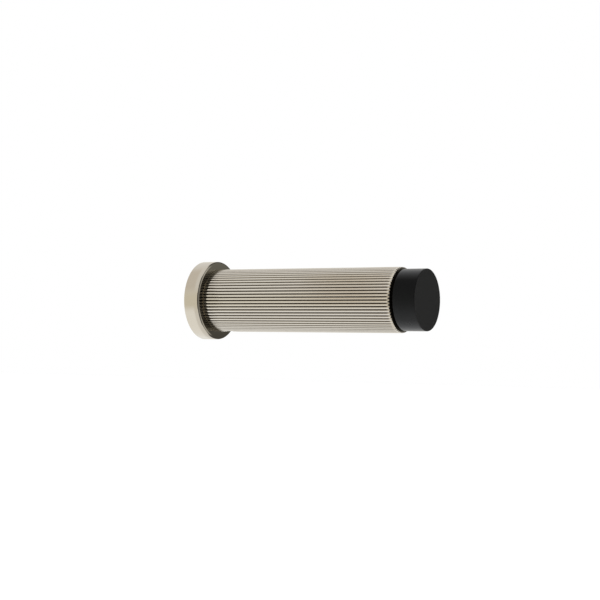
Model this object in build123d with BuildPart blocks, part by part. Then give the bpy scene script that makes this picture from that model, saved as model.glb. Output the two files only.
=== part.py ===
from build123d import *
import os
from math import cos, pi, radians, sin, tan

# A projecting door stop: a fluted barrel on a round rose, with a rubber buffer at its free end.
# Millimetres. +X leaves the wall along the barrel's axis, +Z is up, and the origin is the centre
# of the rose's wall face.

# ---- Driving dimensions ---------------------------------------------------------------------

bar_diameter = 20.0            # standard round bar the barrel is turned from
barrel_length = 65.2
groove_pitch = 1.0             # straight knurl pitch around the barrel
groove_width = 0.56            # mouth of each V groove
groove_angle = 78.0            # included angle of each V groove
barrel_rear_chamfer = 0.25
front_ease_radius = 1.6        # the free end is eased by an arc that stops short of the end face
front_ease_angle = 20.0

rose_diameter = 25.0
rose_thickness = 5.5
rose_front_round = 0.6
rose_rear_round = 0.2

spigot_diameter = 12.0
spigot_projection = 10.5       # in front of the rose
spigot_chamfer = 0.6
flange_diameter = 18.0
flange_thickness = 2.2
flange_chamfer = 0.3
screw_clearance_diameter = 4.5
screw_head_diameter = 8.6      # mouth of the 90 degree countersink
countersink_angle = 90.0

grub_diameter = 3.0            # M3 x 3 socket set screw
grub_length = 3.0
grub_from_rose = 4.5           # set screw's axis, in front of the rose's face
grub_socket_across_flats = 1.5
grub_socket_depth = 1.4
grub_tip_chamfer = 0.35
grub_socket_end_chamfer = 0.2
grub_mouth_chamfer = 0.3
grub_hole_overrun = 0.6        # past the socket's nearest wall, so that the hole breaks through

plate_diameter = 17.0
plate_thickness = 1.8
plate_edge_chamfer = 0.15
stud_diameter = 5.9            # M6, over the crests of its thread
stud_length = 9.0
stud_pitch = 1.0
stud_thread_depth = 0.45
stud_plain_length = 1.0        # unthreaded neck beside the plate
stud_hole_diameter = 6.0
stud_hole_depth = 10.5
stud_hole_chamfer = 0.4

buffer_diameter = 18.8
buffer_length = 7.2
buffer_gap = 0.85              # plate edge left open between barrel and rubber
buffer_face_round = 0.12

running_clearance = 0.05       # radial, between a turned piece and its hole
grub_tip_clearance = 0.03
bond_clearance = 0.1           # radial, between the plate's edge and the rubber around it
socket_end_clearance = 0.5

# ---- Derived places -------------------------------------------------------------------------

bar_radius = bar_diameter / 2
spigot_radius = spigot_diameter / 2
groove_count = round(pi * bar_diameter / groove_pitch)
groove_depth = groove_width / 2 / tan(radians(groove_angle / 2))
groove_overshoot = 0.1         # the cutter reaches past the bar's surface
groove_cutter_width = groove_width * (groove_depth + groove_overshoot) / groove_depth

front_ease_length = front_ease_radius * sin(radians(front_ease_angle))
front_ease_drop = front_ease_radius * (1 - cos(radians(front_ease_angle)))

barrel_rear_x = rose_thickness
barrel_front_x = barrel_rear_x + barrel_length
spigot_end_x = rose_thickness + spigot_projection
socket_radius = spigot_radius + running_clearance
socket_depth = spigot_projection + socket_end_clearance
grub_x = barrel_rear_x + grub_from_rose
grub_tip_radius = spigot_radius + grub_tip_clearance
buffer_rear_x = barrel_front_x + buffer_gap
plate_front_x = barrel_front_x + plate_thickness

# Every turned piece is drawn across the axis, looking back along it.
wall_plane = Plane.YZ


def circle_at(edges, x, radius):
    """The circular edge of this radius that lies at this place along the barrel's axis."""
    circles = edges.filter_by(GeomType.CIRCLE)
    nearest = circles.sort_by(lambda edge: abs(edge.center().X - x) + abs(edge.radius - radius))
    return nearest[0]


# ---- Mounting boss --------------------------------------------------------------------------
# The flange sits in the rose's rear counterbore, and the plain spigot carries the barrel. The
# countersink for the wall screw opens at the spigot's end.

with BuildPart() as mounting_boss:
    with BuildSketch(wall_plane):
        Circle(flange_diameter / 2)
    extrude(amount=flange_thickness)
    with BuildSketch(wall_plane.offset(flange_thickness)):
        Circle(spigot_radius)
    extrude(amount=spigot_end_x - flange_thickness)
    chamfer(circle_at(mounting_boss.edges(), spigot_end_x, spigot_radius), spigot_chamfer)
    chamfer(circle_at(mounting_boss.edges(), 0, flange_diameter / 2), flange_chamfer)
    with Locations(mounting_boss.faces().sort_by(Axis.X)[-1]):
        CounterSinkHole(
            radius=screw_clearance_diameter / 2,
            counter_sink_radius=screw_head_diameter / 2,
            counter_sink_angle=countersink_angle,
        )

mounting_boss.part.label = "mounting_boss"

# ---- Rose -----------------------------------------------------------------------------------

with BuildPart() as rose:
    with BuildSketch(wall_plane):
        Circle(rose_diameter / 2)
    extrude(amount=rose_thickness)
    fillet(circle_at(rose.edges(), rose_thickness, rose_diameter / 2), rose_front_round)
    fillet(circle_at(rose.edges(), 0, rose_diameter / 2), rose_rear_round)
    with Locations(rose.faces().sort_by(Axis.X)[0]):
        CounterBoreHole(
            radius=socket_radius,
            counter_bore_radius=flange_diameter / 2 + running_clearance,
            counter_bore_depth=flange_thickness,
        )

rose.part.label = "rose"

# ---- Barrel ---------------------------------------------------------------------------------
# The turned blank has a chamfer at the rose and an eased free end. The flutes run its whole
# length, and the ease takes away about a quarter of their depth at the end face.

ease_start = (barrel_front_x - front_ease_length, bar_radius)
ease_middle = (
    barrel_front_x - front_ease_length + front_ease_radius * sin(radians(front_ease_angle / 2)),
    bar_radius - front_ease_radius * (1 - cos(radians(front_ease_angle / 2))),
)
ease_end = (barrel_front_x, bar_radius - front_ease_drop)

with BuildPart() as barrel:
    with BuildSketch(Plane.XY):
        with BuildLine():
            Polyline(
                (barrel_front_x, 0),
                (barrel_rear_x, 0),
                (barrel_rear_x, bar_radius - barrel_rear_chamfer),
                (barrel_rear_x + barrel_rear_chamfer, bar_radius),
                ease_start,
            )
            ThreePointArc(ease_start, ease_middle, ease_end)
            Line(ease_end, (barrel_front_x, 0))
        make_face()
    revolve(axis=Axis.X)
    with Locations(barrel.faces().sort_by(Axis.X)[0]):
        Hole(radius=socket_radius, depth=socket_depth)
    with Locations(barrel.faces().sort_by(Axis.X)[-1]):
        Hole(radius=stud_hole_diameter / 2, depth=stud_hole_depth)
    chamfer(circle_at(barrel.edges(), barrel_front_x, stud_hole_diameter / 2), stud_hole_chamfer)
    with BuildSketch(wall_plane.offset(barrel_rear_x)):
        with PolarLocations(bar_radius, groove_count, start_angle=180):
            Polygon(
                (-groove_depth, 0),
                (groove_overshoot, -groove_cutter_width / 2),
                (groove_overshoot, groove_cutter_width / 2),
                align=None,
            )
    extrude(amount=barrel_length, mode=Mode.SUBTRACT)
    with Locations(Plane(origin=(grub_x, 0, -bar_radius), z_dir=(0, 0, -1))):
        CounterSinkHole(
            radius=grub_diameter / 2 + running_clearance,
            counter_sink_radius=grub_diameter / 2 + grub_mouth_chamfer + groove_depth,
            depth=bar_radius - socket_radius + grub_hole_overrun,
            counter_sink_angle=countersink_angle,
        )

barrel.part.label = "barrel"

# ---- Set screw ------------------------------------------------------------------------------
# It stands in the barrel's underside with its flat tip against the spigot.

with BuildPart() as grub_screw:
    with BuildSketch(Plane(origin=(grub_x, 0, -grub_tip_radius), z_dir=(0, 0, -1))):
        Circle(grub_diameter / 2)
    extrude(amount=grub_length)
    chamfer(grub_screw.edges().filter_by(GeomType.CIRCLE).sort_by(Axis.Z)[-1], grub_tip_chamfer)
    chamfer(
        grub_screw.edges().filter_by(GeomType.CIRCLE).sort_by(Axis.Z)[0],
        grub_socket_end_chamfer,
    )
    with BuildSketch(grub_screw.faces().sort_by(Axis.Z)[0]):
        RegularPolygon(grub_socket_across_flats / 2, 6, major_radius=False)
    extrude(amount=-grub_socket_depth, mode=Mode.SUBTRACT)

grub_screw.part.label = "grub_screw"

# ---- Buffer plate ---------------------------------------------------------------------------
# Its rear face seats on the barrel's end, and its front two thirds are inside the rubber.

with BuildPart() as buffer_plate:
    with BuildSketch(wall_plane.offset(barrel_front_x)):
        Circle(plate_diameter / 2)
    extrude(amount=plate_thickness)
    chamfer(buffer_plate.edges().filter_by(GeomType.CIRCLE), plate_edge_chamfer)

buffer_plate.part.label = "buffer_plate"

# ---- Buffer stud ----------------------------------------------------------------------------
# The thread is drawn as rings of the right pitch and depth, not as a helix.

with BuildPart() as buffer_stud:
    with BuildSketch(wall_plane.offset(barrel_front_x)):
        Circle(stud_diameter / 2)
    extrude(amount=-stud_length)
    chamfer(circle_at(buffer_stud.edges(), barrel_front_x - stud_length, stud_diameter / 2),
            stud_thread_depth)
    thread_count = int((stud_length - stud_plain_length - stud_thread_depth) / stud_pitch)
    with BuildSketch(Plane.XY):
        for turn in range(thread_count):
            root_x = barrel_front_x - stud_plain_length - (turn + 0.5) * stud_pitch
            with Locations((root_x, stud_diameter / 2)):
                Polygon(
                    (0, -stud_thread_depth),
                    (-stud_thread_depth, 0),
                    (stud_thread_depth, 0),
                    align=None,
                )
    revolve(axis=Axis.X, mode=Mode.SUBTRACT)

buffer_stud.part.label = "buffer_stud"

# ---- Rubber buffer --------------------------------------------------------------------------
# A plain cylinder with a flat face, moulded over the front of the plate.

with BuildPart() as rubber_buffer:
    with BuildSketch(wall_plane.offset(buffer_rear_x)):
        Circle(buffer_diameter / 2)
    extrude(amount=buffer_length)
    fillet(rubber_buffer.edges().filter_by(GeomType.CIRCLE), buffer_face_round)
    with Locations(rubber_buffer.faces().sort_by(Axis.X)[0]):
        Hole(radius=plate_diameter / 2 + bond_clearance, depth=plate_front_x - buffer_rear_x)

rubber_buffer.part.label = "rubber_buffer"

# ---- Files ----------------------------------------------------------------------------------

os.makedirs("parts", exist_ok=True)
export_step(mounting_boss.part, "parts/mounting_boss.step")
export_step(rose.part, "parts/rose.step")
export_step(barrel.part, "parts/barrel.step")
export_step(grub_screw.part, "parts/grub_screw.step")
export_step(buffer_plate.part, "parts/buffer_plate.step")
export_step(buffer_stud.part, "parts/buffer_stud.step")
export_step(rubber_buffer.part, "parts/rubber_buffer.step")
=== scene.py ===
import math

import bpy
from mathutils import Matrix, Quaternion, Vector


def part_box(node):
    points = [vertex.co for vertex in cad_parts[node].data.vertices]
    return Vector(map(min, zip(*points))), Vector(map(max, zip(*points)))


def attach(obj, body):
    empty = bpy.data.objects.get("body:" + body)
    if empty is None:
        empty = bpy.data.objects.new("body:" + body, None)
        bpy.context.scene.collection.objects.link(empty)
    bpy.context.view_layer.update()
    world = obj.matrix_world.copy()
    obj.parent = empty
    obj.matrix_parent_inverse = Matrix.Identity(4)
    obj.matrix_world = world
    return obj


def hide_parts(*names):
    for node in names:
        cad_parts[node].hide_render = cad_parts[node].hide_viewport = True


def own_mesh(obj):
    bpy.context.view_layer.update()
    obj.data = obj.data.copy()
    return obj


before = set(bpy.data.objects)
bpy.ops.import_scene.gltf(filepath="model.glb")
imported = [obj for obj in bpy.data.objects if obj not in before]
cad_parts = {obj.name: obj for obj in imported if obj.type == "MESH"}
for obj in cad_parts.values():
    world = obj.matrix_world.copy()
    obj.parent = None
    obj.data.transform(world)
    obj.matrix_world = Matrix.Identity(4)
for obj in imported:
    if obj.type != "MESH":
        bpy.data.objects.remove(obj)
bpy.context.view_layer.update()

# The looks of a fluted wall door stop. Metres, in the row frame: +X leaves the wall along the
# barrel's axis, +Z is up, and the origin is the centre of the rose's wall face.

MM = 0.001

# ---- Places read from the frame -------------------------------------------------------------

rose_low, rose_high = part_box("rose")
barrel_low, barrel_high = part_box("barrel")
plate_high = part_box("buffer_plate")[1]
rubber_low, rubber_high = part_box("rubber_buffer")
grub_low, grub_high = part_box("grub_screw")

rose_radius = rose_high.z
bar_radius = barrel_high.z
rubber_radius = rubber_high.z
rubber_centre = (rubber_low + rubber_high) / 2
grub_x = (grub_low.x + grub_high.x) / 2

# ---- Details the boxes don't give -----------------------------------------------------------

ROSE_FRONT_ROUND = 0.6 * MM
ROSE_REAR_ROUND = 0.2 * MM
ROSE_COUNTERBORE_RADIUS = 9.05 * MM
ROSE_COUNTERBORE_DEPTH = 2.2 * MM
ROSE_SEGMENTS = 480
SPIGOT_HOLE_RADIUS = 6.05 * MM  # through the rose and into the barrel
SPIGOT_SOCKET_DEPTH = 11.0 * MM

FLUTE_COUNT = 63
FLUTE_WIDTH = 0.56 * MM
FLUTE_DEPTH = 0.346 * MM
FLUTE_EDGE_SOFTNESS = 0.035 * MM
FLUTED_SHARE = 0.9             # of the bar's radius: nothing nearer the axis is fluted
BARREL_REAR_CHAMFER = 0.25 * MM
FRONT_EASE_RADIUS = 1.6 * MM   # the free end is eased by an arc that stops at the end face
FRONT_EASE_ANGLE = 20.0
FRONT_EASE_LENGTH = FRONT_EASE_RADIUS * math.sin(math.radians(FRONT_EASE_ANGLE))
STUD_HOLE_RADIUS = 3.0 * MM
STUD_HOLE_DEPTH = 10.5 * MM
STUD_HOLE_CHAMFER = 0.4 * MM
GRUB_HOLE_RADIUS = 1.55 * MM
GRUB_MOUTH_RADIUS = 2.15 * MM  # of the 90 degree countersink, where it meets the bar's surface
GRUB_HOLE_SEGMENTS = 64
CUTTER_PAST_BAR = 1.0 * MM     # how far the hole's cutter reaches out of the bar
CUTTER_PAST_SOCKET = 0.5 * MM  # and into the socket

RUBBER_EDGE_ROUND = 0.12 * MM
RUBBER_RECESS_RADIUS = 8.6 * MM
RUBBER_SEGMENTS = 256


# ---- Mesh making ----------------------------------------------------------------------------

def arc(centre_x, centre_r, radius, start, end, steps):
    """Points (x, r) on an arc. Angles are in degrees from +X towards larger r."""
    angles = [math.radians(start + (end - start) * k / steps) for k in range(steps + 1)]
    return [(centre_x + radius * math.cos(a), centre_r + radius * math.sin(a)) for a in angles]


def shade(mesh, sharp_angle=35.0):
    """Smooth shading, with the mesh's folds kept sharp."""
    mesh.shade_smooth()
    mesh.set_sharp_from_angle(angle=math.radians(sharp_angle))


def mesh_object(name, vertices, faces):
    mesh = bpy.data.meshes.new(name)
    mesh.from_pydata(vertices, [], faces)
    mesh.validate()
    shade(mesh)
    made = bpy.data.objects.new(name, mesh)
    bpy.context.scene.collection.objects.link(made)
    return made


def turned(name, outline, angles, radius_at=None):
    """A body of revolution about X. outline is a closed loop of (x, r), or an open one that
    starts and ends on the axis. radius_at(r, step) may change a ring's radius at an angle."""
    on_axis = outline[0][1] == 0
    rings = outline[1:-1] if on_axis else outline
    count = len(angles)
    vertices = []
    for x, r in rings:
        for step, angle in enumerate(angles):
            radius = radius_at(r, step) if radius_at else r
            vertices.append((x, -radius * math.cos(angle), radius * math.sin(angle)))
    faces = []
    for i in range(len(rings) - 1 if on_axis else len(rings)):
        here, there = i * count, (i + 1) % len(rings) * count
        for j in range(count):
            k = (j + 1) % count
            faces.append((here + j, there + j, there + k, here + k))
    if on_axis:
        first, last = len(vertices), len(vertices) + 1
        vertices += [(outline[0][0], 0, 0), (outline[-1][0], 0, 0)]
        end = (len(rings) - 1) * count
        for j in range(count):
            k = (j + 1) % count
            faces.append((first, j, k))
            faces.append((last, end + k, end + j))
    return mesh_object(name, vertices, faces)


def even_angles(count):
    return [2 * math.pi * k / count for k in range(count)]


def cut_away(piece, cutter):
    """Subtracts the cutter's volume from the piece and removes the cutter."""
    boolean = piece.modifiers.new("cut", "BOOLEAN")
    boolean.operation = "DIFFERENCE"
    boolean.solver = "EXACT"
    boolean.object = cutter
    evaluated = piece.evaluated_get(bpy.context.evaluated_depsgraph_get())
    cut = bpy.data.meshes.new_from_object(evaluated)
    piece.modifiers.clear()
    piece.data = cut
    shade(cut)
    bpy.data.objects.remove(cutter)


# ---- Pieces ---------------------------------------------------------------------------------

def make_rose():
    front, back = rose_high.x, rose_low.x
    side, bore = rose_radius, SPIGOT_HOLE_RADIUS
    outline = [(back, ROSE_COUNTERBORE_RADIUS)]
    outline += arc(back + ROSE_REAR_ROUND, side - ROSE_REAR_ROUND, ROSE_REAR_ROUND, 180, 90, 5)
    outline += arc(front - ROSE_FRONT_ROUND, side - ROSE_FRONT_ROUND, ROSE_FRONT_ROUND, 90, 0, 12)
    outline += [(front, bore), (back + ROSE_COUNTERBORE_DEPTH, bore)]
    outline += [(back + ROSE_COUNTERBORE_DEPTH, ROSE_COUNTERBORE_RADIUS)]
    return turned("rose_disc", outline, even_angles(ROSE_SEGMENTS))


def flute_offsets():
    """Places across one flute and its two half lands, in metres from the flute's centre. They
    lie closest together at the rounded edge between flute and land."""
    half_pitch = math.pi * bar_radius / FLUTE_COUNT
    half_mouth = FLUTE_WIDTH / 2
    wall = [half_mouth * share for share in (0, 0.12, 0.3, 0.5, 0.7, 0.84, 0.93)]
    edge = [half_mouth + FLUTE_EDGE_SOFTNESS * share for share in (0, 0.8, 2.0)]
    land = [half_pitch * 0.82]
    positive = wall + edge + land
    return [-s for s in reversed(positive[1:])] + positive + [half_pitch]


def flute_depth_at(offset):
    """Depth of the V at a distance from its centre, its edge to the land rounded over."""
    straight = FLUTE_DEPTH * (1 - abs(offset) / (FLUTE_WIDTH / 2))
    return (straight + math.hypot(straight, FLUTE_EDGE_SOFTNESS)) / 2


def make_barrel():
    front, back, side = barrel_high.x, barrel_low.x, bar_radius
    pitch = 2 * math.pi / FLUTE_COUNT
    angles, depths = [], []
    for flute in range(FLUTE_COUNT):
        for offset in flute_offsets():
            angles.append(flute * pitch + offset / side)
            depths.append(flute_depth_at(offset))
    land_dip = min(depths)

    def fluted(r, step):
        return min(r, side - depths[step] + land_dip) if r > side * FLUTED_SHARE else r

    outline = [(back + SPIGOT_SOCKET_DEPTH, 0), (back + SPIGOT_SOCKET_DEPTH, SPIGOT_HOLE_RADIUS)]
    outline += [(back, SPIGOT_HOLE_RADIUS)]
    chamfer_steps = 4
    for k in range(chamfer_steps + 1):
        share = k / chamfer_steps * BARREL_REAR_CHAMFER
        outline.append((back + share, side - BARREL_REAR_CHAMFER + share))
    outline += arc(front - FRONT_EASE_LENGTH, side - FRONT_EASE_RADIUS, FRONT_EASE_RADIUS,
                   90, 90 - FRONT_EASE_ANGLE, 20)
    outline += [(front, STUD_HOLE_RADIUS + STUD_HOLE_CHAMFER)]
    outline += [(front - STUD_HOLE_CHAMFER, STUD_HOLE_RADIUS)]
    outline += [(front - STUD_HOLE_DEPTH, STUD_HOLE_RADIUS), (front - STUD_HOLE_DEPTH, 0)]
    made = turned("barrel_fluted", outline, angles, fluted)
    cut_away(made, set_screw_hole_cutter())
    return made


def set_screw_hole_cutter():
    """The hole and its countersink, through the barrel's underside into the spigot's socket."""
    outer = bar_radius + CUTTER_PAST_BAR
    inner = SPIGOT_HOLE_RADIUS - CUTTER_PAST_SOCKET
    cone_base = bar_radius - (GRUB_MOUTH_RADIUS - GRUB_HOLE_RADIUS)
    rings = [(outer, GRUB_MOUTH_RADIUS + outer - bar_radius), (cone_base, GRUB_HOLE_RADIUS)]
    rings += [(inner, GRUB_HOLE_RADIUS)]
    count = GRUB_HOLE_SEGMENTS
    vertices = []
    for depth, radius in rings:
        for angle in even_angles(count):
            vertices.append((grub_x + radius * math.cos(angle), radius * math.sin(angle), -depth))
    faces = [tuple(reversed(range(count)))]
    for i in range(len(rings) - 1):
        here, there = i * count, (i + 1) * count
        for j in range(count):
            k = (j + 1) % count
            faces.append((here + j, here + k, there + k, there + j))
    faces.append(tuple(range((len(rings) - 1) * count, len(rings) * count)))
    return mesh_object("set_screw_hole", vertices, faces)


def make_rubber():
    front, back, side = rubber_high.x, rubber_low.x, rubber_radius
    round_off = RUBBER_EDGE_ROUND
    recess_x = plate_high.x
    outline = [(recess_x, 0), (recess_x, RUBBER_RECESS_RADIUS), (back, RUBBER_RECESS_RADIUS)]
    outline += arc(back + round_off, side - round_off, round_off, 180, 90, 5)
    body_steps = 12
    start, end = back + round_off, front - round_off
    outline += [(start + (end - start) * k / body_steps, side) for k in range(1, body_steps)]
    outline += arc(front - round_off, side - round_off, round_off, 90, 0, 5)
    face_steps = 8
    outline += [(front, (side - round_off) * (1 - k / face_steps)) for k in range(1, face_steps)]
    outline += [(front, 0)]
    return turned("rubber_bumper", outline, even_angles(RUBBER_SEGMENTS))


# ---- Nodes ----------------------------------------------------------------------------------

class Nodes:
    """A short way to write a node tree."""

    def __init__(self, tree):
        self.tree = tree

    def node(self, kind, **settings):
        made = self.tree.nodes.new(kind)
        for key, value in settings.items():
            setattr(made, key, value)
        return made

    def join(self, value, socket):
        if isinstance(value, bpy.types.NodeSocket):
            self.tree.links.new(value, socket)
        else:
            socket.default_value = value

    def math(self, operation, *values):
        made = self.node("ShaderNodeMath", operation=operation)
        for value, socket in zip(values, made.inputs):
            self.join(value, socket)
        return made.outputs[0]

    def map_range(self, interpolation, *values):
        made = self.node("ShaderNodeMapRange", interpolation_type=interpolation)
        for value, socket in zip(values, made.inputs):
            self.join(value, socket)
        return made.outputs["Result"]

    def map(self, value, low, high, to_low=0.0, to_high=1.0):
        """Goes straight from to_low at low to to_high at high, and is level outside them."""
        return self.map_range("LINEAR", value, low, high, to_low, to_high)

    def ease(self, value, low, high, to_low=0.0, to_high=1.0):
        """As map, but it starts and ends gently."""
        return self.map_range("SMOOTHSTEP", value, low, high, to_low, to_high)

    def window(self, value, low, high, softness):
        """1 between low and high, and 0 further outside them than softness."""
        rise = self.ease(value, low - softness, low)
        fall = self.ease(value, high, high + softness, 1.0, 0.0)
        return self.math("MULTIPLY", rise, fall)

    def mix(self, factor, a, b):
        """Colour a where factor is 0 and b where it is 1."""
        made = self.node("ShaderNodeMix", data_type="RGBA")
        self.join(factor, made.inputs["Factor"])
        colours = [socket for socket in made.inputs if socket.type == "RGBA"]
        self.join(a, colours[0])
        self.join(b, colours[1])
        return [socket for socket in made.outputs if socket.type == "RGBA"][0]

    def split(self, vector):
        made = self.node("ShaderNodeSeparateXYZ")
        self.join(vector, made.inputs[0])
        return made.outputs["X"], made.outputs["Y"], made.outputs["Z"]


class Surface(Nodes):
    """A Principled material whose detail is laid out in the piece's own coordinates."""

    def __init__(self, name):
        self.material = bpy.data.materials.new(name)
        self.material.use_nodes = True
        super().__init__(self.material.node_tree)
        self.principled = self.tree.nodes["Principled BSDF"]
        self.point = self.node("ShaderNodeTexCoord").outputs["Object"]
        self.x, self.y, self.z = self.split(self.point)

    def stretched(self, scale):
        made = self.node("ShaderNodeMapping")
        self.join(self.point, made.inputs["Vector"])
        made.inputs["Scale"].default_value = scale
        return made.outputs["Vector"]

    def noise(self, scale, detail=3.0, vector=None):
        made = self.node("ShaderNodeTexNoise")
        self.join(vector or self.point, made.inputs["Vector"])
        made.inputs["Scale"].default_value = scale
        made.inputs["Detail"].default_value = detail
        return made.outputs["Fac"]

    def spread(self, noise, low, high):
        """Varies from low to high over the middle of a noise's range."""
        return self.map(noise, 0.3, 0.7, low, high)

    def radius(self):
        """Distance from the barrel's axis."""
        return self.math("SQRT", self.math("ADD", self.math("MULTIPLY", self.y, self.y),
                                           self.math("MULTIPLY", self.z, self.z)))

    def bump(self, height, distance, strength):
        made = self.node("ShaderNodeBump")
        made.inputs["Strength"].default_value = strength
        made.inputs["Distance"].default_value = distance
        self.join(height, made.inputs["Height"])
        return made.outputs["Normal"]

    def set(self, **inputs):
        for name, value in inputs.items():
            self.join(value, self.principled.inputs[name.replace("_", " ")])
        return self.material


# ---- Materials ------------------------------------------------------------------------------
# A noise mixes the two tints of each pair.

NICKEL_TINTS = [(0.665, 0.605, 0.500, 1), (0.635, 0.575, 0.470, 1)]
LAND_TINTS = [(0.80, 0.75, 0.66, 1), (0.74, 0.69, 0.595, 1)]
# The flute tint is the flutes' duller nickel, darkened with painted shade for their hollows.
FLUTE_TINT_WITH_SHADE = (0.265, 0.23, 0.18, 1)
# The tint by the rose is painted shade where the flutes meet the rose; it also darkens their
# mirror image in the rose's face.
FLUTE_SHADE_BY_ROSE = (0.06, 0.05, 0.037, 1)
RUBBER_SIDE_TINTS = [(0.0062, 0.0064, 0.0065, 1), (0.0080, 0.0083, 0.0084, 1)]
RUBBER_FACE_TINTS = [(0.012, 0.012, 0.012, 1), (0.0155, 0.0155, 0.0152, 1)]
PLATE_TINTS = [(0.02, 0.018, 0.015, 1), (0.04, 0.036, 0.031, 1)]
ZINC_TINTS = [(0.58, 0.60, 0.62, 1), (0.66, 0.655, 0.62, 1)]
OXIDE_TINTS = [(0.035, 0.035, 0.038, 1), (0.07, 0.068, 0.066, 1)]


def polished_nickel():
    s = Surface("polished_nickel")
    tint = s.mix(s.noise(90.0), *NICKEL_TINTS)
    haze = s.noise(260.0, detail=4.0)
    turning = s.noise(9000.0, detail=1.0, vector=s.stretched((1.0, 0.02, 0.02)))
    roughness = s.spread(haze, 0.04, 0.08)
    normal = s.bump(turning, 0.02 * MM, 0.04)
    return s.set(Base_Color=tint, Metallic=1.0, Roughness=roughness, Normal=normal)


def flute_depth(s):
    """How far the fluted surface lies below the turned blank's outline, in metres."""
    past = s.math("MAXIMUM", s.math("SUBTRACT", s.x, barrel_high.x - FRONT_EASE_LENGTH), 0.0)
    front_drop = s.math("DIVIDE", s.math("MULTIPLY", past, past), 2 * FRONT_EASE_RADIUS)
    rear_drop = s.math("SUBTRACT", barrel_low.x + BARREL_REAR_CHAMFER, s.x)
    drop = s.math("MAXIMUM", front_drop, rear_drop)
    return s.math("SUBTRACT", s.math("SUBTRACT", bar_radius, drop), s.radius())


def fluted_nickel():
    """Bright lands, and dull flutes darkened by painted shade in their hollows. Near the free end
    the flutes are lighter and smoother, the end face is dull again, and painted shade makes the
    flutes darkest beside the rose, which mirrors them."""
    s = Surface("fluted_nickel")
    rear, front = barrel_low.x, barrel_high.x
    inside = s.ease(flute_depth(s), 0.03 * MM, 0.13 * MM)
    # The flutes' painted shade and dullness fade out over the last 1.3 mm before the free end,
    # which leaves them lighter and smoother there.
    away_from_free_end = s.ease(s.x, front - 1.3 * MM, front - 0.5 * MM, 1.0, 0.12)
    end_face = s.map(s.x, front - 0.02 * MM, front - 0.005 * MM, 0.0, 0.7)
    # The flutes' mask carries their duller finish and also the painted shade in their hollows.
    dull_and_shaded = s.math("MULTIPLY", inside, s.math("MAXIMUM", away_from_free_end, end_face))
    # Painted shade on the flutes over the first 2 mm from the rose.
    rose_shade = s.ease(s.x, rear + 1.2 * MM, rear + 2.0 * MM, 1.0, 0.0)

    streaks = s.noise(1.0, detail=4.0, vector=s.stretched((120.0, 2400.0, 2400.0)))
    shaded_flute_colour = s.mix(rose_shade, FLUTE_TINT_WITH_SHADE, FLUTE_SHADE_BY_ROSE)
    colour = s.mix(dull_and_shaded, s.mix(streaks, *LAND_TINTS), shaded_flute_colour)
    roughness = s.math("ADD", s.spread(streaks, 0.08, 0.13), s.math("MULTIPLY", dull_and_shaded, 0.38))
    normal = s.bump(streaks, 0.01 * MM, 0.15)
    return s.set(Base_Color=colour, Metallic=1.0, Roughness=roughness, Normal=normal)


def black_rubber():
    """A moulded side that turns glossy at grazing angles, and a face ground flat, which is a
    little greyer and more matt."""
    s = Surface("black_rubber")
    grain = s.noise(3200.0)
    cloud = s.noise(140.0)
    ground = s.ease(s.x, rubber_high.x - 0.08 * MM, rubber_high.x - 0.02 * MM)
    colour = s.mix(ground, s.mix(cloud, *RUBBER_SIDE_TINTS), s.mix(cloud, *RUBBER_FACE_TINTS))
    roughness = s.math("ADD", s.spread(cloud, 0.27, 0.32), s.math("MULTIPLY", ground, 0.25))
    grazing = s.node("ShaderNodeLayerWeight").outputs["Facing"]
    side_gloss = s.map(grazing, 0.3, 0.8, 0.065, 0.55)
    gloss = s.map(ground, 0.0, 1.0, side_gloss, 0.09)
    normal = s.bump(grain, 0.015 * MM, 0.35)
    return s.set(Base_Color=colour, Roughness=roughness, Normal=normal, Specular_IOR_Level=gloss)


def zinc_steel():
    s = Surface("zinc_steel")
    cloud = s.noise(220.0, detail=4.0)
    rings = s.noise(1.0, detail=2.0, vector=s.stretched((5200.0, 60.0, 60.0)))
    return s.set(Base_Color=s.mix(cloud, *ZINC_TINTS), Metallic=1.0,
                 Roughness=s.spread(cloud, 0.22, 0.34), Normal=s.bump(rings, 0.02 * MM, 0.3))


def clouded_metal(name, scale, tints, smoothest, roughest):
    s = Surface(name)
    cloud = s.noise(scale)
    return s.set(Base_Color=s.mix(cloud, *tints), Metallic=1.0,
                 Roughness=s.spread(cloud, smoothest, roughest))


# The buffer plate is nearly black metal.
def dark_plate():
    return clouded_metal("near_black_plate", 500.0, PLATE_TINTS, 0.35, 0.5)


def black_oxide():
    return clouded_metal("black_oxide", 900.0, OXIDE_TINTS, 0.3, 0.45)


def dress(piece, material):
    piece.data.materials.clear()
    piece.data.materials.append(material)


# ---- Camera and floor -----------------------------------------------------------------------

CAMERA_PLACE = Vector((0.2581, -0.4016, 0.0001))
CAMERA_AIM = Vector((-0.4853, 0.8743, 0.0))
CAMERA_ROLL = 0.2              # degrees, lifts the free end in the picture
CAMERA_LENS = 88.06            # on a 36 mm sensor
FLOOR_DROP = 90 * MM           # below the rose
FLOOR_HALF_SIZE = 1.2
FLOOR_COLOUR = (0.9, 0.9, 0.9, 1)
FLOOR_GLOW = 0.7
WHITE = (1, 1, 1, 1)


def make_camera():
    camera = bpy.data.objects.new("camera", bpy.data.cameras.new("camera"))
    camera.data.lens = CAMERA_LENS
    camera.data.sensor_width = 36.0
    camera.data.clip_start = 0.01
    camera.location = CAMERA_PLACE
    roll = Quaternion((0, 0, 1), -math.radians(CAMERA_ROLL))
    camera.rotation_euler = (CAMERA_AIM.to_track_quat("-Z", "Y") @ roll).to_euler()
    bpy.context.scene.collection.objects.link(camera)
    bpy.context.scene.camera = camera


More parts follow.
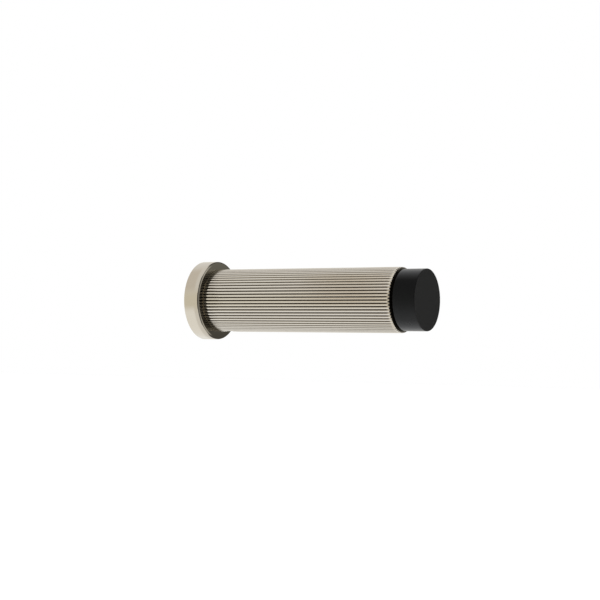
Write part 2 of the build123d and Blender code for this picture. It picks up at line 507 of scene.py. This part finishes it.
def make_floor():
    """The floor is lit paper. Metal doesn't mirror it, because the tent goes on below it."""
    low = rose_low.z - FLOOR_DROP
    corners = [(-1, -1), (1, -1), (1, 1), (-1, 1)]
    vertices = [(x * FLOOR_HALF_SIZE, y * FLOOR_HALF_SIZE, low) for x, y in corners]
    floor = mesh_object("floor", vertices, [(0, 1, 2, 3)])
    s = Surface("pale_floor")
    s.set(Base_Color=FLOOR_COLOUR, Roughness=0.9, Emission_Color=WHITE,
          Emission_Strength=FLOOR_GLOW)
    floor.data.materials.append(s.material)
    floor.visible_glossy = False


# ---- Light ----------------------------------------------------------------------------------
# The studio is the world's colour, set by a direction's x, y and z, and by its steepness, which
# is z without its sign. A pair of these is where a change starts and where it is complete, and
# three are a window's two ends and how soft they are. In the photo's view the barrel mirrors an
# x of -0.53 at the rose to -0.43 at the free end, the rose's rim an x below -0.53, and the rose's
# face, like the barrel that is seen in it, an x of 0.53.

TENT_FRONT = (0.81, 0.79, 0.72, 1)
TENT_SIDES = (0.84, 0.845, 0.86, 1)
TENT_SIDES_STEEP = (0.15, 0.65)
TENT_LOW_LEFT = (1.03, 1.05, 1.08, 1)
LOW_LEFT_Z = (-0.15, -0.5)
LOW_LEFT_X = (-0.530, -0.548)

WARM_CARD = (0.55, 0.46, 0.36, 1)
BARREL_CARD_X = (-0.468, -0.445, 0.02)
BARREL_CARD_TURN = (0, 90, 25)  # degrees up from the front
BARREL_CARD_STRENGTH = 0.8
RIM_CARD_X = (-0.530, -0.545)
RIM_CARD_TURN = (45, 95, 25)
RIM_CARD_STRENGTH = 0.32

ROOM_FRONT = (0.030, 0.029, 0.028, 1)
ROOM_BACK_LOW = (0.081, 0.080, 0.073, 1)
ROOM_BACK_HIGH = (0.170, 0.172, 0.162, 1)
ROOM_BACK_Z = (-0.06, 0.06)
ROOM_BACK_Y = (0.0, 0.6)
ROOM_BACK_X = (0.0, 0.35)

FILL_FRONT = (0.27, 0.27, 0.265, 1)
FILL_BACK = (0.55, 0.55, 0.54, 1)
FILL_BACK_Y = (-0.2, 0.3)
FILL_X = (0.59, 0.66)
FRONT_STRIP_X = (0.38, 0.45, 0.04)
FRONT_STRIP_Y = (-0.1, -0.5)

TENT_EDGE_X = (-0.28, -0.38)
FRONT_REACH = 0.30             # how much further in x the tent goes above and below the camera
FRONT_REACH_Y = (0.25, -0.25)
FRONT_REACH_STEEP = (0.32, 0.46)
BACK_REACH = 0.12              # and low behind the object
BACK_REACH_Y = (0.3, 0.8)
BACK_REACH_Z = (-0.15, 0.05)
OVERHEAD_STEEP = (0.88, 0.97)

LAMPS = [                      # name, place, size, and power in watts
    ("face_light", (0.95, 0, 0), 0.5, 6.0),
    ("low_light", (0.05, -0.02, -0.09), 0.12, 0.3),
]


def tent_colour(n, x, y, z, steep):
    """White cloth, with a warm card that the barrel mirrors and another that the rim mirrors."""
    cloth = n.mix(n.ease(steep, *TENT_SIDES_STEEP), TENT_FRONT, TENT_SIDES)
    low_left = n.math("MULTIPLY", n.ease(z, *LOW_LEFT_Z), n.ease(x, *LOW_LEFT_X))
    cloth = n.mix(low_left, cloth, TENT_LOW_LEFT)
    turn = n.math("ARCTAN2", z, n.math("MULTIPLY", y, -1.0))
    barrel_card = n.math("MULTIPLY", n.window(x, *BARREL_CARD_X),
                         n.window(turn, *map(math.radians, BARREL_CARD_TURN)))
    cloth = n.mix(n.math("MULTIPLY", barrel_card, BARREL_CARD_STRENGTH), cloth, WARM_CARD)
    rim_card = n.math("MULTIPLY", n.ease(x, *RIM_CARD_X),
                      n.window(turn, *map(math.radians, RIM_CARD_TURN)))
    return n.mix(n.math("MULTIPLY", rim_card, RIM_CARD_STRENGTH), cloth, WARM_CARD)


def room_colour(n, x, y, z):
    """Dark, but lit from the right, so that the object isn't black from behind. The light leaves
    out the x that the rose's face mirrors."""
    back = n.mix(n.map(z, *ROOM_BACK_Z), ROOM_BACK_LOW, ROOM_BACK_HIGH)
    back_right = n.math("MULTIPLY", n.ease(y, *ROOM_BACK_Y), n.ease(x, *ROOM_BACK_X))
    room = n.mix(back_right, ROOM_FRONT, back)
    fill = n.mix(n.ease(y, *FILL_BACK_Y), FILL_FRONT, FILL_BACK)
    front_strip = n.math("MULTIPLY", n.window(x, *FRONT_STRIP_X), n.ease(y, *FRONT_STRIP_Y))
    return n.mix(n.math("MAXIMUM", n.ease(x, *FILL_X), front_strip), room, fill)


def tent_share(n, x, y, z, steep):
    """1 where a ray meets the tent, and 0 where it passes out into the room."""
    front_reach = n.math("MULTIPLY", n.ease(y, *FRONT_REACH_Y),
                         n.ease(steep, *FRONT_REACH_STEEP, 0.0, FRONT_REACH))
    back_reach = n.math("MULTIPLY", n.ease(y, *BACK_REACH_Y),
                        n.ease(z, *BACK_REACH_Z, BACK_REACH, 0.0))
    reach = n.math("ADD", front_reach, back_reach)
    wall_side = n.ease(n.math("SUBTRACT", x, reach), *TENT_EDGE_X)
    return n.math("MAXIMUM", wall_side, n.ease(steep, *OVERHEAD_STEEP))


def make_world():
    """A white tent on the wall's side of the object, open to a dark room on the other side. The
    camera itself sees plain white."""
    world = bpy.data.worlds.new("studio")
    bpy.context.scene.world = world
    world.use_nodes = True
    n = Nodes(world.node_tree)
    x, y, z = n.split(n.node("ShaderNodeTexCoord").outputs["Generated"])
    steep = n.math("ABSOLUTE", z)
    seen_by_metal = n.mix(tent_share(n, x, y, z, steep), room_colour(n, x, y, z),
                          tent_colour(n, x, y, z, steep))
    seen_by_camera = n.node("ShaderNodeLightPath").outputs["Is Camera Ray"]
    colour = n.mix(seen_by_camera, seen_by_metal, WHITE)
    n.join(colour, n.tree.nodes["Background"].inputs["Color"])


def make_lamps():
    """Soft light that only matt surfaces take up: on the rubber's face, and from below."""
    for name, place, size, power in LAMPS:
        light = bpy.data.lights.new(name, "AREA")
        light.shape = "DISK"
        light.size = size
        light.energy = power
        lamp = bpy.data.objects.new(name, light)
        lamp.location = place
        lamp.rotation_euler = (rubber_centre - lamp.location).to_track_quat("-Z", "Y").to_euler()
        lamp.visible_glossy = False
        lamp.visible_camera = False
        bpy.context.scene.collection.objects.link(lamp)


# ---- Scene ----------------------------------------------------------------------------------

make_camera()
make_floor()
make_world()
make_lamps()
bpy.context.scene.view_settings.view_transform = "Standard"

rose = make_rose()
dress(rose, polished_nickel())
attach(rose, "wall_mount")
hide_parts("rose")

barrel = make_barrel()
dress(barrel, fluted_nickel())
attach(barrel, "barrel")
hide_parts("barrel")

rubber = make_rubber()
dress(rubber, black_rubber())
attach(rubber, "buffer_mount")
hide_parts("rubber_buffer")
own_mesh(rubber)

dress(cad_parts["mounting_boss"], zinc_steel())
dress(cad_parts["buffer_stud"], zinc_steel())
dress(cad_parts["buffer_plate"], dark_plate())
dress(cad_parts["grub_screw"], black_oxide())
